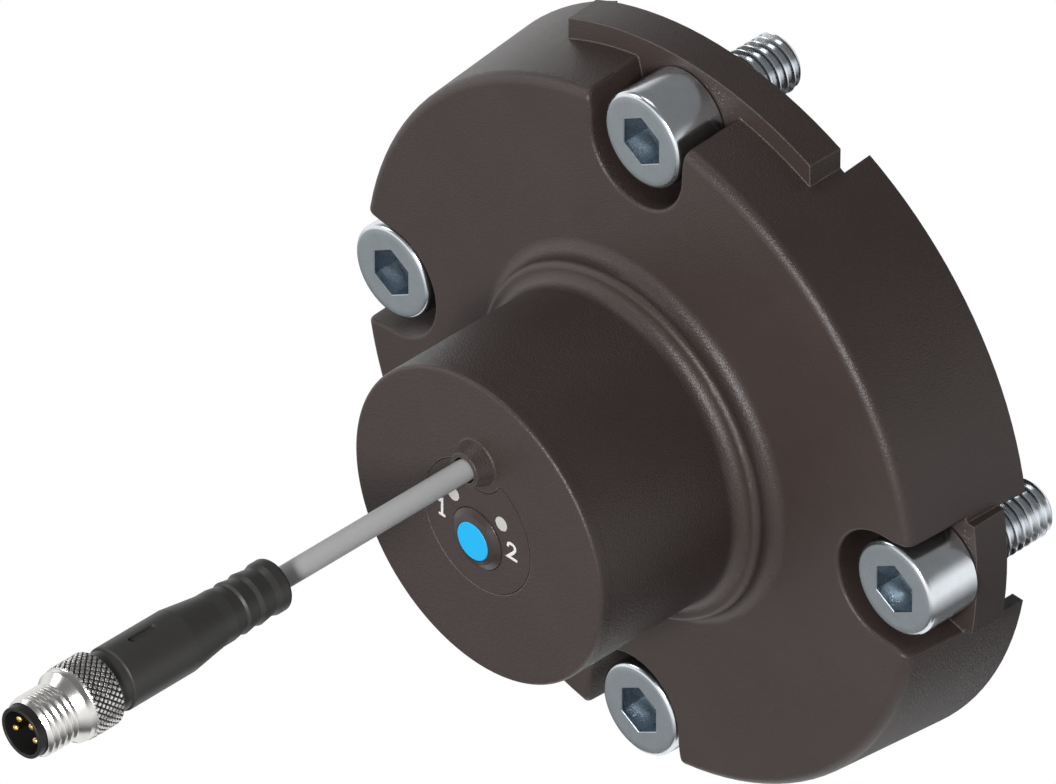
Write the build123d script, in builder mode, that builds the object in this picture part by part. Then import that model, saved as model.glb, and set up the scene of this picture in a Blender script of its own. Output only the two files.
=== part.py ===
from build123d import *
from math import pi, radians, tan
import os

# Rotary position sensor for the end face of a rotary drive, in millimetres.
# The origin is the centre of the mounting face. The front looks along -Y and +Z is 12 o'clock.
# Every height below is a distance in front of the mounting face, and a minus sign is behind it.

# Flange
flange_height = 14.0
flange_beyond_screws = 5.75
flange_draft = 4.9
flange_edge_round = 1.4
flange_front_wall = 2.6
flange_side_wall = 3.1
plate_thickness = 5.0
plate_rim_inside_heads = 0.1
plate_rim_width = 16.8
rim_draft = 2.5
raised_arc_beyond_screws = 8.0
raised_arc_width = 42.2
skirt_depth = 4.3
skirt_wall = 1.8
skirt_gap_width = 16.7
arc_gap_width = 43.6
skirt_relief_width = 0.6
skirt_relief_depth = 0.4

# Mounting screws and their pockets
screw_circle_radius = 44.0
screw_count = 4
screw_head_radius = 6.5
screw_head_height = 8.0
screw_head_round = 0.65
screw_radius = 4.0
screw_length = 16.0
screw_neck_radius = 3.6
screw_tip_chamfer = 0.7
screw_hole_clearance = 0.5
hex_key_size = 6.0
hex_key_depth = 4.0
pocket_gap = 1.3
pocket_centre_inset = 1.0
pocket_wall = 2.0
pocket_flare_radius = 15.0
pocket_edge_round = 0.45

# Hub
hub_radius = 21.6
hub_height = 40.65
hub_edge_round = 0.5
hub_front_wall = 2.25
hub_blend = 1.8
foot_width = 2.8
foot_step = 3.0
foot_edge_round = 0.9
foot_blend = 2.0

# Spaces inside the housing, from the mounting face forwards
well_step = 3.9
well_depth = 7.5
well_wall = 2.0
bearing_ledge_width = 6.0
bearing_plate_thickness = 4.0
bearing_plate_gap = 0.1
hub_wall = 1.6
cover_seat_width = 0.8
core_rib_width = 1.6
core_rib_angles = [23, 34, 45, 56, 67]

# Insert in the hub face
insert_radius = 9.3
insert_gap = 0.1
insert_corner_round = 0.5
insert_notch_width = 0.95
insert_flange_width = 1.7
insert_flange_thickness = 0.9
insert_flange_notch_gap = 0.25

# Teach button
button_offset = -1.9
button_radius = 4.25
button_running_gap = 0.08
button_guide_height = 0.1
button_shoulder_inset = 0.85
button_shoulder_rise = 0.65
button_rise = 0.85
button_retainer_width = 0.5
button_retainer_thickness = 0.75
button_retainer_gap = 0.1
button_stem_radius = 1.6
button_travel = 0.4
cap_radius = 2.65
cap_thickness = 0.95
cap_gap = 0.05
cap_proud = 0.05
cap_edge_round = 0.15

# Status lamps
lamp_spacing = 8.4
lamp_offset = 2.7
lamp_window_radius = 1.0
lamp_window_gap = 0.03
lamp_window_shoulder_width = 0.3
lamp_window_shoulder_height = 0.9
lamp_chip_size = (1.6, 1.0, 0.7)
lamp_air_gap = 0.3

# Cable and its collar on the hub
cable_offset = 9.8
cable_radius = 1.45
cable_hole_gap = 0.3
cable_free_length = 31.7
cable_in_plug = 4.0
collar_base_radius = 3.2
collar_tip_radius = 2.3
collar_height = 2.25
collar_edge_round = 0.15
collar_foot_width = 0.5
collar_foot_round = 0.3
grommet_radius = 3.4
grommet_length = 3.0
core_radius = 0.35
core_spacing = 1.2

# Circuit board and what it carries
board_gap = 0.6
board_thickness = 1.6
board_depth = 5.4
board_back_room = 2.8
board_boss_inset = 3.4
board_boss_radius = 2.6
board_boss_angles = [30, 150, 270]
cover_boss_inset = 2.0
cover_boss_radius = 2.4
cover_boss_angles = [90, 210, 330]
boss_notch_gap = 0.4
angle_chip_size = (5.0, 4.4, 1.2)
controller_chip_size = (7.0, 7.0, 1.0)
controller_chip_offset = -8.5
chip_lead_length = 0.8
chip_lead_width = 0.4
chip_lead_thickness = 0.25
angle_chip_lead_pitch = 1.2
small_part_size = (2.0, 1.25, 0.9)
small_part_places = [(-8.5, 4.5), (-8.5, 1.0), (-8.5, -2.5), (8.5, 4.5), (8.5, 1.0), (8.5, -2.5)]
key_switch_width = 6.0
key_switch_height = 3.2
key_switch_corner = 0.6
key_plunger_radius = 1.7
key_plunger_rise = 0.8
key_plunger_depth = 0.5
key_plunger_gap = 0.05
key_well_depth = 1.0

# Small screws inside
small_screw_radius = 1.25
small_screw_head_radius = 2.2
small_screw_head_height = 1.5
small_screw_clearance = 0.15
small_screw_hex = 2.0
small_screw_hex_depth = 0.9
board_screw_length = 5.0
cover_screw_length = 7.0
plate_screw_radius = 1.5
plate_screw_head_radius = 2.6
plate_screw_head_height = 1.7
plate_screw_length = 6.5
plate_screw_angles = [30, 150, 270]
plate_screw_hex = 2.5
screw_hole_spare_depth = 0.4

# Chamber cover and seal
cover_gap = 0.2
cover_thickness = 1.8
seal_thickness = 0.4
seal_width = 0.6

# Bearing plate, bush and rotor
web_thickness = 2.0
web_inner_width = 4.0
web_rib_width = 2.0
bush_wall = 1.95
bush_flange_width = 1.6
bush_flange_thickness = 1.0
bush_overhang = 1.0
journal_radius = 6.0
journal_clearance = 0.05
rotor_end_height = 3.0
rotor_thrust_gap = 0.3
rotor_thrust_radius = 7.6
rotor_thrust_thickness = 1.2
rotor_neck_radius = 5.5
rotor_cup_wall = 2.0
rotor_cup_floor = 1.2
magnet_radius = 7.0
magnet_thickness = 4.0
magnet_chamfer = 0.3
magnet_air_gap = 1.2
socket_radius = 4.0
socket_depth = 10.0
keyway_width = 2.0
keyway_depth = 0.9
ring_groove_depth = 0.5
ring_thickness = 0.9
ring_groove_gap = 0.05
ring_bush_gap = 0.35
ring_outer_radius = 7.6
ring_opening = 3.0

# Plug on the cable
plug_body_length = 28.8
plug_end_radius = 3.5
plug_end_length = 1.7
plug_end_round = 0.6
plug_groove_radius = 3.2
plug_groove_pitch = [2.9, 2.45, 2.05]
plug_groove_rise = [0.9, 0.6, 0.35]
plug_taper_start = 10.8
plug_taper_end = 16.2
plug_barrel_radius = 4.25
plug_neck_radius = 4.0
plug_neck_length = 2.0
dimple_start = 19.5
dimple_length = 4.3
dimple_width = 1.0
dimple_depth = 0.3
insert_tail_radius = 3.0
insert_tail_length = 4.4
insert_body_radius = 3.98
insert_body_length = 6.2
contact_tube_radius = 3.4
contact_tube_inner_radius = 2.9
contact_tube_length = 6.6
contact_tube_depth = 5.0
contact_rim_round = 0.15
pin_radius = 0.5
pin_recess = 0.5
pin_embedded = 5.0
upper_pin_place = (1.08, 1.25)
lower_pin_place = (1.75, -0.52)
nut_radius = 4.9
nut_thread_radius = 4.0
nut_back_gap = 0.1
nut_knurl_length = 4.7
nut_shoulder_radius = 4.7
nut_shoulder_length = 1.0
nut_cone_length = 1.0
nut_thread_length = 4.8
nut_front_chamfer = 0.45
nut_edge_chamfer = 0.3
nut_body_clearance = 0.07
nut_end_gap = 0.15

# Sizes that follow from the ones above
flange_radius = screw_circle_radius + flange_beyond_screws
plate_rim_radius = screw_circle_radius + screw_head_radius - plate_rim_inside_heads
raised_arc_radius = screw_circle_radius + raised_arc_beyond_screws
foot_height = flange_height + foot_step
foot_radius = hub_radius + foot_width
chamber_front = hub_height - hub_front_wall
chamber_radius = hub_radius - hub_wall - cover_seat_width
magnet_space_radius = hub_radius - hub_wall
bearing_plate_radius = magnet_space_radius + bearing_ledge_width
plate_screw_circle = magnet_space_radius + bearing_ledge_width / 2
well_radius = bearing_plate_radius + bearing_plate_gap + well_step
bearing_seat_height = well_depth + bearing_plate_thickness
core_depth = flange_height - flange_front_wall
core_inner_radius = well_radius + well_wall
screw_hole_radius = screw_radius + screw_hole_clearance
pocket_radius = screw_head_radius + pocket_gap
pocket_centre_radius = screw_circle_radius - pocket_centre_inset
insert_notch_radius = collar_base_radius + insert_notch_width
button_bore_radius = button_radius + button_running_gap
button_shoulder_radius = button_radius - button_shoulder_inset
button_retainer_radius = button_radius + button_retainer_width
insert_back_height = chamber_front - insert_flange_thickness
retainer_front_height = insert_back_height + button_retainer_thickness + button_travel
retainer_back_height = retainer_front_height - button_retainer_thickness
board_radius = chamber_radius - board_gap
board_height = chamber_front - board_depth
board_boss_circle = chamber_radius - board_boss_inset
cover_boss_circle = chamber_radius - cover_boss_inset
key_switch_front = board_height + key_switch_height
key_plunger_front = key_switch_front + key_plunger_rise
board_back_height = board_height - board_thickness
cover_seat_height = board_back_height - board_back_room
cable_end_height = chamber_front - grommet_length
cable_hole_radius = cable_radius + cable_hole_gap
collar_front_height = hub_height + collar_height
plug_height = collar_front_height + cable_free_length
plug_front = plug_height + plug_body_length
cover_front_height = cover_seat_height - seal_thickness
cover_back_height = cover_front_height - cover_thickness
bush_radius = journal_radius + journal_clearance + bush_wall
bush_flange_radius = bush_radius + bush_flange_width
bush_front_height = bearing_seat_height + bush_flange_thickness
bush_back_height = well_depth - bush_overhang
rotor_thrust_height = bush_front_height + rotor_thrust_gap
ring_front_height = bush_back_height - ring_bush_gap
magnet_front_height = cover_back_height - magnet_air_gap
magnet_back_height = magnet_front_height - magnet_thickness
rotor_cup_height = magnet_back_height - rotor_cup_floor
rotor_cup_radius = magnet_radius + rotor_cup_wall

# Radius runs along the first direction and height along the second one
side_view = Plane(origin=(0, 0, 0), x_dir=(1, 0, 0), z_dir=(0, 0, -1))
button_side_view = Plane(origin=(0, 0, button_offset), x_dir=(1, 0, 0), z_dir=(0, 0, -1))
cable_side_view = Plane(origin=(0, 0, cable_offset), x_dir=(1, 0, 0), z_dir=(0, 0, -1))
button_axis = Axis((0, 0, button_offset), (0, 1, 0))
cable_axis = Axis((0, 0, cable_offset), (0, 1, 0))


def front(height):
    """A plane that faces forwards, this far in front of the mounting face."""
    return Plane.XZ.offset(height)


def flange_side(height):
    """The flange's outer radius at this height, as its drafted side gives it."""
    return flange_radius - (height + skirt_depth) * tan(radians(flange_draft))


def on_circle(radius, angles):
    """Places on a circle about the sensor's axis, with the angles from 3 o'clock."""
    return [Vector(radius, 0, 0).rotate(Axis.Z, angle) for angle in angles]


def outline(corners):
    """A closed outline through corners of radius, height and corner round."""
    FilletPolyline(
        *[(radius, height) for radius, height, _ in corners],
        radius=[corner_round for _, _, corner_round in corners],
        close=True,
    )


def small_screw(seat, length, radius, head_radius, head_height, key_size, places):
    """Pan head screws that point forwards, with their heads on the face at this height."""
    with BuildPart() as screws:
        with BuildSketch(front(seat)):
            with Locations(*places):
                Circle(radius)
        extrude(amount=length)
        with BuildSketch(front(seat - head_height)):
            with Locations(*places):
                Circle(head_radius)
        extrude(amount=head_height)
        with BuildSketch(front(seat - head_height)):
            with Locations(*places):
                RegularPolygon(key_size / 2, 6, major_radius=False)
        extrude(amount=small_screw_hex_depth, mode=Mode.SUBTRACT)
    return screws.part


# Opening in the hub face that the insert fills, round the collar's foot
with BuildSketch() as insert_opening:
    Circle(insert_radius)
    with Locations((0, cable_offset)):
        Circle(insert_notch_radius, mode=Mode.SUBTRACT)
    fillet(insert_opening.vertices(), insert_corner_round)

# Space of one screw pocket at 12 o'clock: a half circle whose sides flare towards the rim
with BuildPart() as pocket_space:
    with BuildSketch(front(plate_thickness)):
        with BuildLine():
            flare_centre = pocket_radius + pocket_flare_radius
            right_side = CenterArc((flare_centre, pocket_centre_radius), pocket_flare_radius, 180, -45)
            left_side = CenterArc((-flare_centre, pocket_centre_radius), pocket_flare_radius, 0, 45)
            ThreePointArc(left_side @ 0, (0, pocket_centre_radius - pocket_radius), right_side @ 0)
            Line(left_side @ 1, right_side @ 1)
        make_face()
    extrude(amount=hub_height)

# Housing: hub, flange, screw pockets, raised arc and rear skirt in one moulding
with BuildPart() as housing:
    with BuildSketch(side_view):
        with BuildLine():
            outline(
                [
                    (0, hub_height, 0),
                    (hub_radius, hub_height, hub_edge_round),
                    (hub_radius, foot_height, hub_blend),
                    (foot_radius, foot_height, foot_edge_round),
                    (foot_radius, flange_height, foot_blend),
                    (flange_side(flange_height), flange_height, flange_edge_round),
                    (flange_side(-skirt_depth), -skirt_depth, 0),
                    (flange_side(-skirt_depth) - skirt_wall, -skirt_depth, 0),
                    (flange_side(-skirt_depth) - skirt_wall, 0, 0),
                    (0, 0, 0),
                ]
            )
        make_face()
    revolve(axis=Axis.Y)
    # Plate rims that show in the side pockets, and the raised arc at 12 o'clock
    with BuildSketch(front(0)):
        Rectangle(2 * plate_rim_radius, plate_rim_width)
        Rectangle(plate_rim_width, 2 * plate_rim_radius)
        Circle(plate_rim_radius, mode=Mode.INTERSECT)
    extrude(amount=plate_thickness, taper=rim_draft)
    with BuildSketch(front(0)):
        with Locations((0, raised_arc_radius)):
            Rectangle(raised_arc_width, raised_arc_radius)
        Circle(raised_arc_radius, mode=Mode.INTERSECT)
    extrude(amount=plate_thickness, taper=rim_draft)
    # Gaps in the skirt behind each screw
    with BuildSketch(front(-skirt_depth)):
        Rectangle(3 * flange_radius, skirt_gap_width)
        Rectangle(skirt_gap_width, 3 * flange_radius)
        with Locations((0, flange_radius)):
            Rectangle(arc_gap_width, flange_radius)
    extrude(amount=skirt_depth, mode=Mode.SUBTRACT)
    # Relief at the skirt's foot, so that the mounting face meets its seat squarely
    with BuildSketch(front(0)):
        Circle(flange_side(-skirt_depth) - skirt_wall)
        Circle(flange_side(-skirt_depth) - skirt_wall - skirt_relief_width, mode=Mode.SUBTRACT)
    extrude(amount=skirt_relief_depth, mode=Mode.SUBTRACT)
    for quarter in range(screw_count):
        add(pocket_space.part.rotate(Axis.Y, quarter * 360 / screw_count), mode=Mode.SUBTRACT)
    front_arcs = housing.edges().filter_by(GeomType.CIRCLE).filter_by_position(
        Axis.Y, -flange_height - pocket_edge_round, -flange_height + pocket_edge_round
    )
    fillet(front_arcs.filter_by(lambda arc: arc.radius < foot_radius), pocket_edge_round)
    with BuildSketch(front(0)):
        with PolarLocations(screw_circle_radius, screw_count):
            Circle(screw_hole_radius)
    extrude(amount=plate_thickness, mode=Mode.SUBTRACT)
    # Cable collar on the hub face
    with BuildSketch(cable_side_view):
        with BuildLine():
            outline(
                [
                    (0, chamber_front, 0),
                    (collar_base_radius + collar_foot_width, chamber_front, 0),
                    (collar_base_radius + collar_foot_width, hub_height, 0),
                    (collar_base_radius, hub_height, collar_foot_round),
                    (collar_tip_radius, collar_front_height, collar_edge_round),
                    (0, collar_front_height, 0),
                ]
            )
        make_face()
    revolve(axis=cable_axis)
    # Well for the drive's shaft end, bearing seat, magnet space and electronics chamber
    with BuildSketch(side_view):
        with BuildLine():
            outline(
                [
                    (0, -skirt_depth, 0),
                    (well_radius, -skirt_depth, 0),
                    (well_radius, well_depth, 0),
                    (bearing_plate_radius + bearing_plate_gap, well_depth, 0),
                    (bearing_plate_radius + bearing_plate_gap, bearing_seat_height, 0),
                    (magnet_space_radius, bearing_seat_height, 0),
                    (magnet_space_radius, cover_seat_height, 0),
                    (chamber_radius, cover_seat_height, 0),
                    (chamber_radius, chamber_front, 0),
                    (0, chamber_front, 0),
                ]
            )
        make_face()
    revolve(axis=Axis.Y, mode=Mode.SUBTRACT)
    # Ribbed cells behind the flange, between the screw pockets
    with BuildSketch(front(0)):
        Circle(flange_side(0) - flange_side_wall)
        Circle(core_inner_radius, mode=Mode.SUBTRACT)
        Rectangle(3 * flange_radius, 2 * (pocket_radius + pocket_wall), mode=Mode.SUBTRACT)
        Rectangle(2 * (pocket_radius + pocket_wall), 3 * flange_radius, mode=Mode.SUBTRACT)
        for angle in core_rib_angles:
            for quarter in range(2):
                Rectangle(3 * flange_radius, core_rib_width, rotation=angle + 90 * quarter, mode=Mode.SUBTRACT)
    extrude(amount=core_depth, mode=Mode.SUBTRACT)
    # Bosses for the board and the chamber cover
    with BuildSketch(front(board_height)):
        with Locations(*on_circle(board_boss_circle, board_boss_angles)):
            Circle(board_boss_radius)
    extrude(amount=chamber_front - board_height)
    with BuildSketch(front(cover_seat_height)):
        with Locations(*on_circle(cover_boss_circle, cover_boss_angles)):
            Circle(cover_boss_radius)
    extrude(amount=chamber_front - cover_seat_height)
    with BuildSketch(front(board_height)):
        with Locations(*on_circle(board_boss_circle, board_boss_angles)):
            Circle(small_screw_radius)
    extrude(amount=board_screw_length - board_thickness + screw_hole_spare_depth, mode=Mode.SUBTRACT)
    with BuildSketch(front(cover_seat_height)):
        with Locations(*on_circle(cover_boss_circle, cover_boss_angles)):
            Circle(small_screw_radius)
    extrude(
        amount=cover_back_height + cover_screw_length - cover_seat_height + screw_hole_spare_depth,
        mode=Mode.SUBTRACT,
    )
    with BuildSketch(front(bearing_seat_height)):
        with Locations(*on_circle(plate_screw_circle, plate_screw_angles)):
            Circle(plate_screw_radius)
    extrude(amount=plate_screw_length - bearing_plate_thickness + screw_hole_spare_depth, mode=Mode.SUBTRACT)
    # Openings in the hub face for the insert and the cable
    with BuildSketch(front(chamber_front)):
        add(insert_opening.sketch)
    extrude(amount=hub_front_wall, mode=Mode.SUBTRACT)
    with BuildSketch(front(chamber_front)):
        with Locations((0, cable_offset)):
            Circle(cable_hole_radius)
    extrude(amount=hub_front_wall + collar_height, mode=Mode.SUBTRACT)
housing.part.label = "housing"

# Four socket head cap screws, one solid each
with BuildPart() as mounting_screws:
    with BuildSketch(front(plate_thickness)):
        with PolarLocations(screw_circle_radius, screw_count):
            Circle(screw_head_radius)
    extrude(amount=screw_head_height)
    fillet(mounting_screws.faces().sort_by(Axis.Y)[0:screw_count].edges(), screw_head_round)
    with BuildSketch(front(plate_thickness - screw_length)):
        with PolarLocations(screw_circle_radius, screw_count):
            Circle(screw_radius)
    extrude(amount=screw_length - plate_thickness)
    with BuildSketch(front(0)):
        with PolarLocations(screw_circle_radius, screw_count):
            Circle(screw_neck_radius)
    extrude(amount=plate_thickness)
    chamfer(mounting_screws.faces().sort_by(Axis.Y)[-screw_count:].edges(), screw_tip_chamfer)
    with BuildSketch(front(plate_thickness + screw_head_height)):
        with PolarLocations(screw_circle_radius, screw_count, rotate=False):
            RegularPolygon(hex_key_size / 2, 6, major_radius=False, rotation=30)
    extrude(amount=-hex_key_depth, mode=Mode.SUBTRACT)
mounting_screws.part.label = "mounting_screws"

# Insert: fills the opening in the hub face, with a flange behind the wall
with BuildPart() as front_insert:
    with BuildSketch(front(chamber_front)) as insert_face:
        add(insert_opening.sketch)
        offset(amount=-insert_gap, mode=Mode.REPLACE)
    extrude(amount=hub_front_wall)
    with BuildSketch(front(insert_back_height)):
        Circle(insert_radius + insert_flange_width)
        with Locations((0, cable_offset)):
            Circle(insert_notch_radius + insert_flange_notch_gap, mode=Mode.SUBTRACT)
    extrude(amount=insert_flange_thickness)
    with BuildSketch(front(insert_back_height)):
        with Locations((0, button_offset)):
            Circle(button_bore_radius)
        with Locations((-lamp_spacing / 2, lamp_offset), (lamp_spacing / 2, lamp_offset)):
            Circle(lamp_window_radius + lamp_window_gap)
    extrude(amount=hub_height - insert_back_height, mode=Mode.SUBTRACT)
    with BuildSketch(front(insert_back_height)):
        with Locations((0, button_offset)):
            Circle(button_retainer_radius + button_running_gap)
    extrude(
        amount=retainer_front_height + button_retainer_gap - insert_back_height,
        mode=Mode.SUBTRACT,
    )
front_insert.part.label = "front_insert"

# Teach button: guide, soft shoulder, retaining flange and stem, with a seat for its cap
cap_back_height = hub_height + button_rise + cap_proud - cap_thickness
with BuildPart() as teach_button:
    with BuildSketch(button_side_view):
        with BuildLine():
            outline(
                [
                    (0, key_plunger_front + key_plunger_gap, 0),
                    (button_stem_radius, key_plunger_front + key_plunger_gap, 0),
                    (button_stem_radius, retainer_back_height, 0),
                    (button_retainer_radius, retainer_back_height, 0),
                    (button_retainer_radius, retainer_front_height, 0),
                    (button_radius, retainer_front_height, 0),
                    (button_radius, hub_height + button_guide_height, 0.15),
                    (button_shoulder_radius, hub_height + button_shoulder_rise, 0.5),
                    (cap_radius + cap_gap, hub_height + button_rise, 0),
                    (cap_radius + cap_gap, cap_back_height, 0),
                    (0, cap_back_height, 0),
                ]
            )
        make_face()
    revolve(axis=button_axis)
teach_button.part.label = "teach_button"

with BuildPart() as button_cap:
    with BuildSketch(front(cap_back_height)):
        with Locations((0, button_offset)):
            Circle(cap_radius)
    extrude(amount=cap_thickness)
    fillet(button_cap.faces().sort_by(Axis.Y)[0].edges(), cap_edge_round)
button_cap.part.label = "button_cap"

# Lamps: a chip on the board and a light guide that ends flush with the insert
lamps = []
for number, side in ((1, -1), (2, 1)):
    lamp_place = (side * lamp_spacing / 2, lamp_offset)
    with BuildPart() as lamp_chip:
        with BuildSketch(front(board_height)):
            with Locations(lamp_place):
                Rectangle(lamp_chip_size[0], lamp_chip_size[1])
        extrude(amount=lamp_chip_size[2])
    lamp_chip.part.label = f"lamp_chip_{number}"
    guide_back_height = board_height + lamp_chip_size[2] + lamp_air_gap
    with BuildPart() as lamp_window:
        with BuildSketch(front(guide_back_height)):
            with Locations(lamp_place):
                Circle(lamp_window_radius)
        extrude(amount=hub_height - guide_back_height)
        with BuildSketch(front(insert_back_height)):
            with Locations(lamp_place):
                Circle(lamp_window_radius + lamp_window_shoulder_width)
        extrude(amount=-lamp_window_shoulder_height)
    lamp_window.part.label = f"lamp_window_{number}"
    lamps += [lamp_chip.part, lamp_window.part]

# Circuit board, notched round the cover's bosses
with BuildPart() as circuit_board:
    with BuildSketch(front(board_back_height)):
        Circle(board_radius)
        with Locations(*on_circle(cover_boss_circle, cover_boss_angles)):
            Circle(cover_boss_radius + boss_notch_gap, mode=Mode.SUBTRACT)
        with Locations(*on_circle(board_boss_circle, board_boss_angles)):
            Circle(small_screw_radius + small_screw_clearance, mode=Mode.SUBTRACT)
    extrude(amount=board_thickness)
circuit_board.part.label = "circuit_board"

# Magnetic angle chip on the sensor's axis, behind the board, with four leads on each side
with BuildPart() as angle_chip:
    with BuildSketch(front(board_back_height)):
        Rectangle(angle_chip_size[0], angle_chip_size[1])
    extrude(amount=-angle_chip_size[2])
    with BuildSketch(front(board_back_height)):
        with GridLocations(angle_chip_lead_pitch, angle_chip_size[1] + chip_lead_length, 4, 2):
            Rectangle(chip_lead_width, chip_lead_length)
    extrude(amount=-chip_lead_thickness)
angle_chip.part.label = "angle_chip"

with BuildPart() as controller_chip:
    with BuildSketch(front(board_back_height)):
        with Locations((0, controller_chip_offset)):
            Rectangle(controller_chip_size[0], controller_chip_size[1])
    extrude(amount=-controller_chip_size[2])
    chamfer(controller_chip.edges().group_by(Axis.Y)[-1], chip_lead_thickness)
controller_chip.part.label = "controller_chip"

with BuildPart() as board_components:
    with BuildSketch(front(board_back_height)):
        with Locations(*small_part_places):
            Rectangle(small_part_size[0], small_part_size[1])
    extrude(amount=-small_part_size[2])
board_components.part.label = "board_components"

# Push switch under the teach button
with BuildPart() as key_switch_body:
    with BuildSketch(front(board_height)):
        with Locations((0, button_offset)):
            RectangleRounded(key_switch_width, key_switch_width, key_switch_corner)
    extrude(amount=key_switch_height)
    with BuildSketch(front(key_switch_front)):
        with Locations((0, button_offset)):
            Circle(key_plunger_radius + key_plunger_gap)
    extrude(amount=-key_well_depth, mode=Mode.SUBTRACT)
key_switch_body.part.label = "key_switch_body"

with BuildPart() as key_plunger:
    with BuildSketch(front(key_switch_front - key_plunger_depth)):
        with Locations((0, button_offset)):
            Circle(key_plunger_radius)
    extrude(amount=key_plunger_depth + key_plunger_rise)
key_plunger.part.label = "key_plunger"

# Small screws of the board, the chamber cover and the bearing plate
board_screws = small_screw(
    board_back_height,
    board_screw_length,
    small_screw_radius,
    small_screw_head_radius,
    small_screw_head_height,
    small_screw_hex,
    on_circle(board_boss_circle, board_boss_angles),
)
board_screws.label = "board_screws"
cover_screws = small_screw(
    cover_back_height,
    cover_screw_length,
    small_screw_radius,
    small_screw_head_radius,
    small_screw_head_height,
    small_screw_hex,
    on_circle(cover_boss_circle, cover_boss_angles),
)
cover_screws.label = "cover_screws"
bearing_plate_screws = small_screw(
    well_depth,
    plate_screw_length,
    plate_screw_radius,
    plate_screw_head_radius,
    plate_screw_head_height,
    plate_screw_hex,
    on_circle(plate_screw_circle, plate_screw_angles),
)
bearing_plate_screws.label = "bearing_plate_screws"

# Cover that closes the electronics chamber, on its flat seal
with BuildPart() as chamber_cover:
    with BuildSketch(front(cover_back_height)):
        Circle(magnet_space_radius - cover_gap)
        with Locations(*on_circle(cover_boss_circle, cover_boss_angles)):
            Circle(small_screw_radius + small_screw_clearance, mode=Mode.SUBTRACT)
    extrude(amount=cover_thickness)
chamber_cover.part.label = "chamber_cover"

with BuildPart() as cover_seal:
    with BuildSketch(front(cover_front_height)):
        Circle(magnet_space_radius - cover_gap)
        Circle(magnet_space_radius - cover_gap - seal_width, mode=Mode.SUBTRACT)
    extrude(amount=seal_thickness)
cover_seal.part.label = "cover_seal"

# Bearing plate: hub ring and rim joined by a thin web with ribs behind it
web_recess = bearing_plate_thickness - web_thickness
with BuildPart() as bearing_plate:
    with BuildSketch(front(well_depth)):
        Circle(bearing_plate_radius)
        Circle(bush_radius, mode=Mode.SUBTRACT)
        with Locations(*on_circle(plate_screw_circle, plate_screw_angles)):
            Circle(plate_screw_radius + small_screw_clearance, mode=Mode.SUBTRACT)
    extrude(amount=bearing_plate_thickness)
    with BuildSketch(front(well_depth)):
        Circle(magnet_space_radius)
        Circle(bush_radius + web_inner_width, mode=Mode.SUBTRACT)
        for angle in plate_screw_angles:
            Rectangle(2 * magnet_space_radius, web_rib_width, rotation=angle, mode=Mode.SUBTRACT)
    extrude(amount=web_recess, mode=Mode.SUBTRACT)
bearing_plate.part.label = "bearing_plate"

with BuildPart() as bearing_bush:
    with BuildSketch(side_view):
        with BuildLine():
            outline(
                [
                    (journal_radius + journal_clearance, bush_back_height, 0),
                    (bush_radius, bush_back_height, 0),
                    (bush_radius, bearing_seat_height, 0),
                    (bush_flange_radius, bearing_seat_height, 0),
                    (bush_flange_radius, bush_front_height, 0),
                    (journal_radius + journal_clearance, bush_front_height, 0),
                ]
            )
        make_face()
    revolve(axis=Axis.Y)
bearing_bush.part.label = "bearing_bush"

# Rotor: socket for the drive's shaft, journal, thrust shoulder and magnet cup
ring_groove_front = ring_front_height + ring_groove_gap
ring_groove_back = ring_front_height - ring_thickness - ring_groove_gap
with BuildPart() as rotor:
    with BuildSketch(side_view):
        with BuildLine():
            outline(
                [
                    (0, rotor_end_height, 0),
                    (journal_radius, rotor_end_height, 0.3),
                    (journal_radius, ring_groove_back, 0),
                    (journal_radius - ring_groove_depth, ring_groove_back, 0),
                    (journal_radius - ring_groove_depth, ring_groove_front, 0),
                    (journal_radius, ring_groove_front, 0),
                    (journal_radius, rotor_thrust_height, 0),
                    (rotor_thrust_radius, rotor_thrust_height, 0),
                    (rotor_thrust_radius, rotor_thrust_height + rotor_thrust_thickness, 0),
                    (rotor_neck_radius, rotor_thrust_height + rotor_thrust_thickness, 0.8),
                    (rotor_neck_radius, rotor_cup_height, 1.5),
                    (rotor_cup_radius, rotor_cup_height, 0.6),
                    (rotor_cup_radius, magnet_front_height, 0.3),
                    (magnet_radius, magnet_front_height, 0),
                    (magnet_radius, magnet_back_height, 0),
                    (0, magnet_back_height, 0),
                ]
            )
        make_face()
    revolve(axis=Axis.Y)
    with BuildSketch(front(rotor_end_height)):
        Circle(socket_radius)
        with Locations((0, socket_radius + keyway_depth)):
            Rectangle(keyway_width, socket_radius + keyway_depth, align=(Align.CENTER, Align.MAX))
    extrude(amount=socket_depth, mode=Mode.SUBTRACT)
rotor.part.label = "rotor"

with BuildPart() as magnet:
    with BuildSketch(front(magnet_back_height)):
        Circle(magnet_radius)
    extrude(amount=magnet_thickness)
    chamfer(magnet.faces().sort_by(Axis.Y)[0].edges(), magnet_chamfer)
magnet.part.label = "magnet"

with BuildPart() as retaining_ring:
    with BuildSketch(front(ring_front_height - ring_thickness)):
        Circle(ring_outer_radius)
        Circle(journal_radius - ring_groove_depth, mode=Mode.SUBTRACT)
        with Locations((0, -ring_outer_radius)):
            Rectangle(ring_opening, ring_outer_radius, mode=Mode.SUBTRACT)
    extrude(amount=ring_thickness)
retaining_ring.part.label = "retaining_ring"

# Grommet that clamps the cable behind the hub face
with BuildPart() as cable_grommet:
    with BuildSketch(front(cable_end_height)):
        with Locations((0, cable_offset)):
            Circle(grommet_radius)
            Circle(cable_radius, mode=Mode.SUBTRACT)
    extrude(amount=grommet_length)
cable_grommet.part.label = "cable_grommet"

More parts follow.
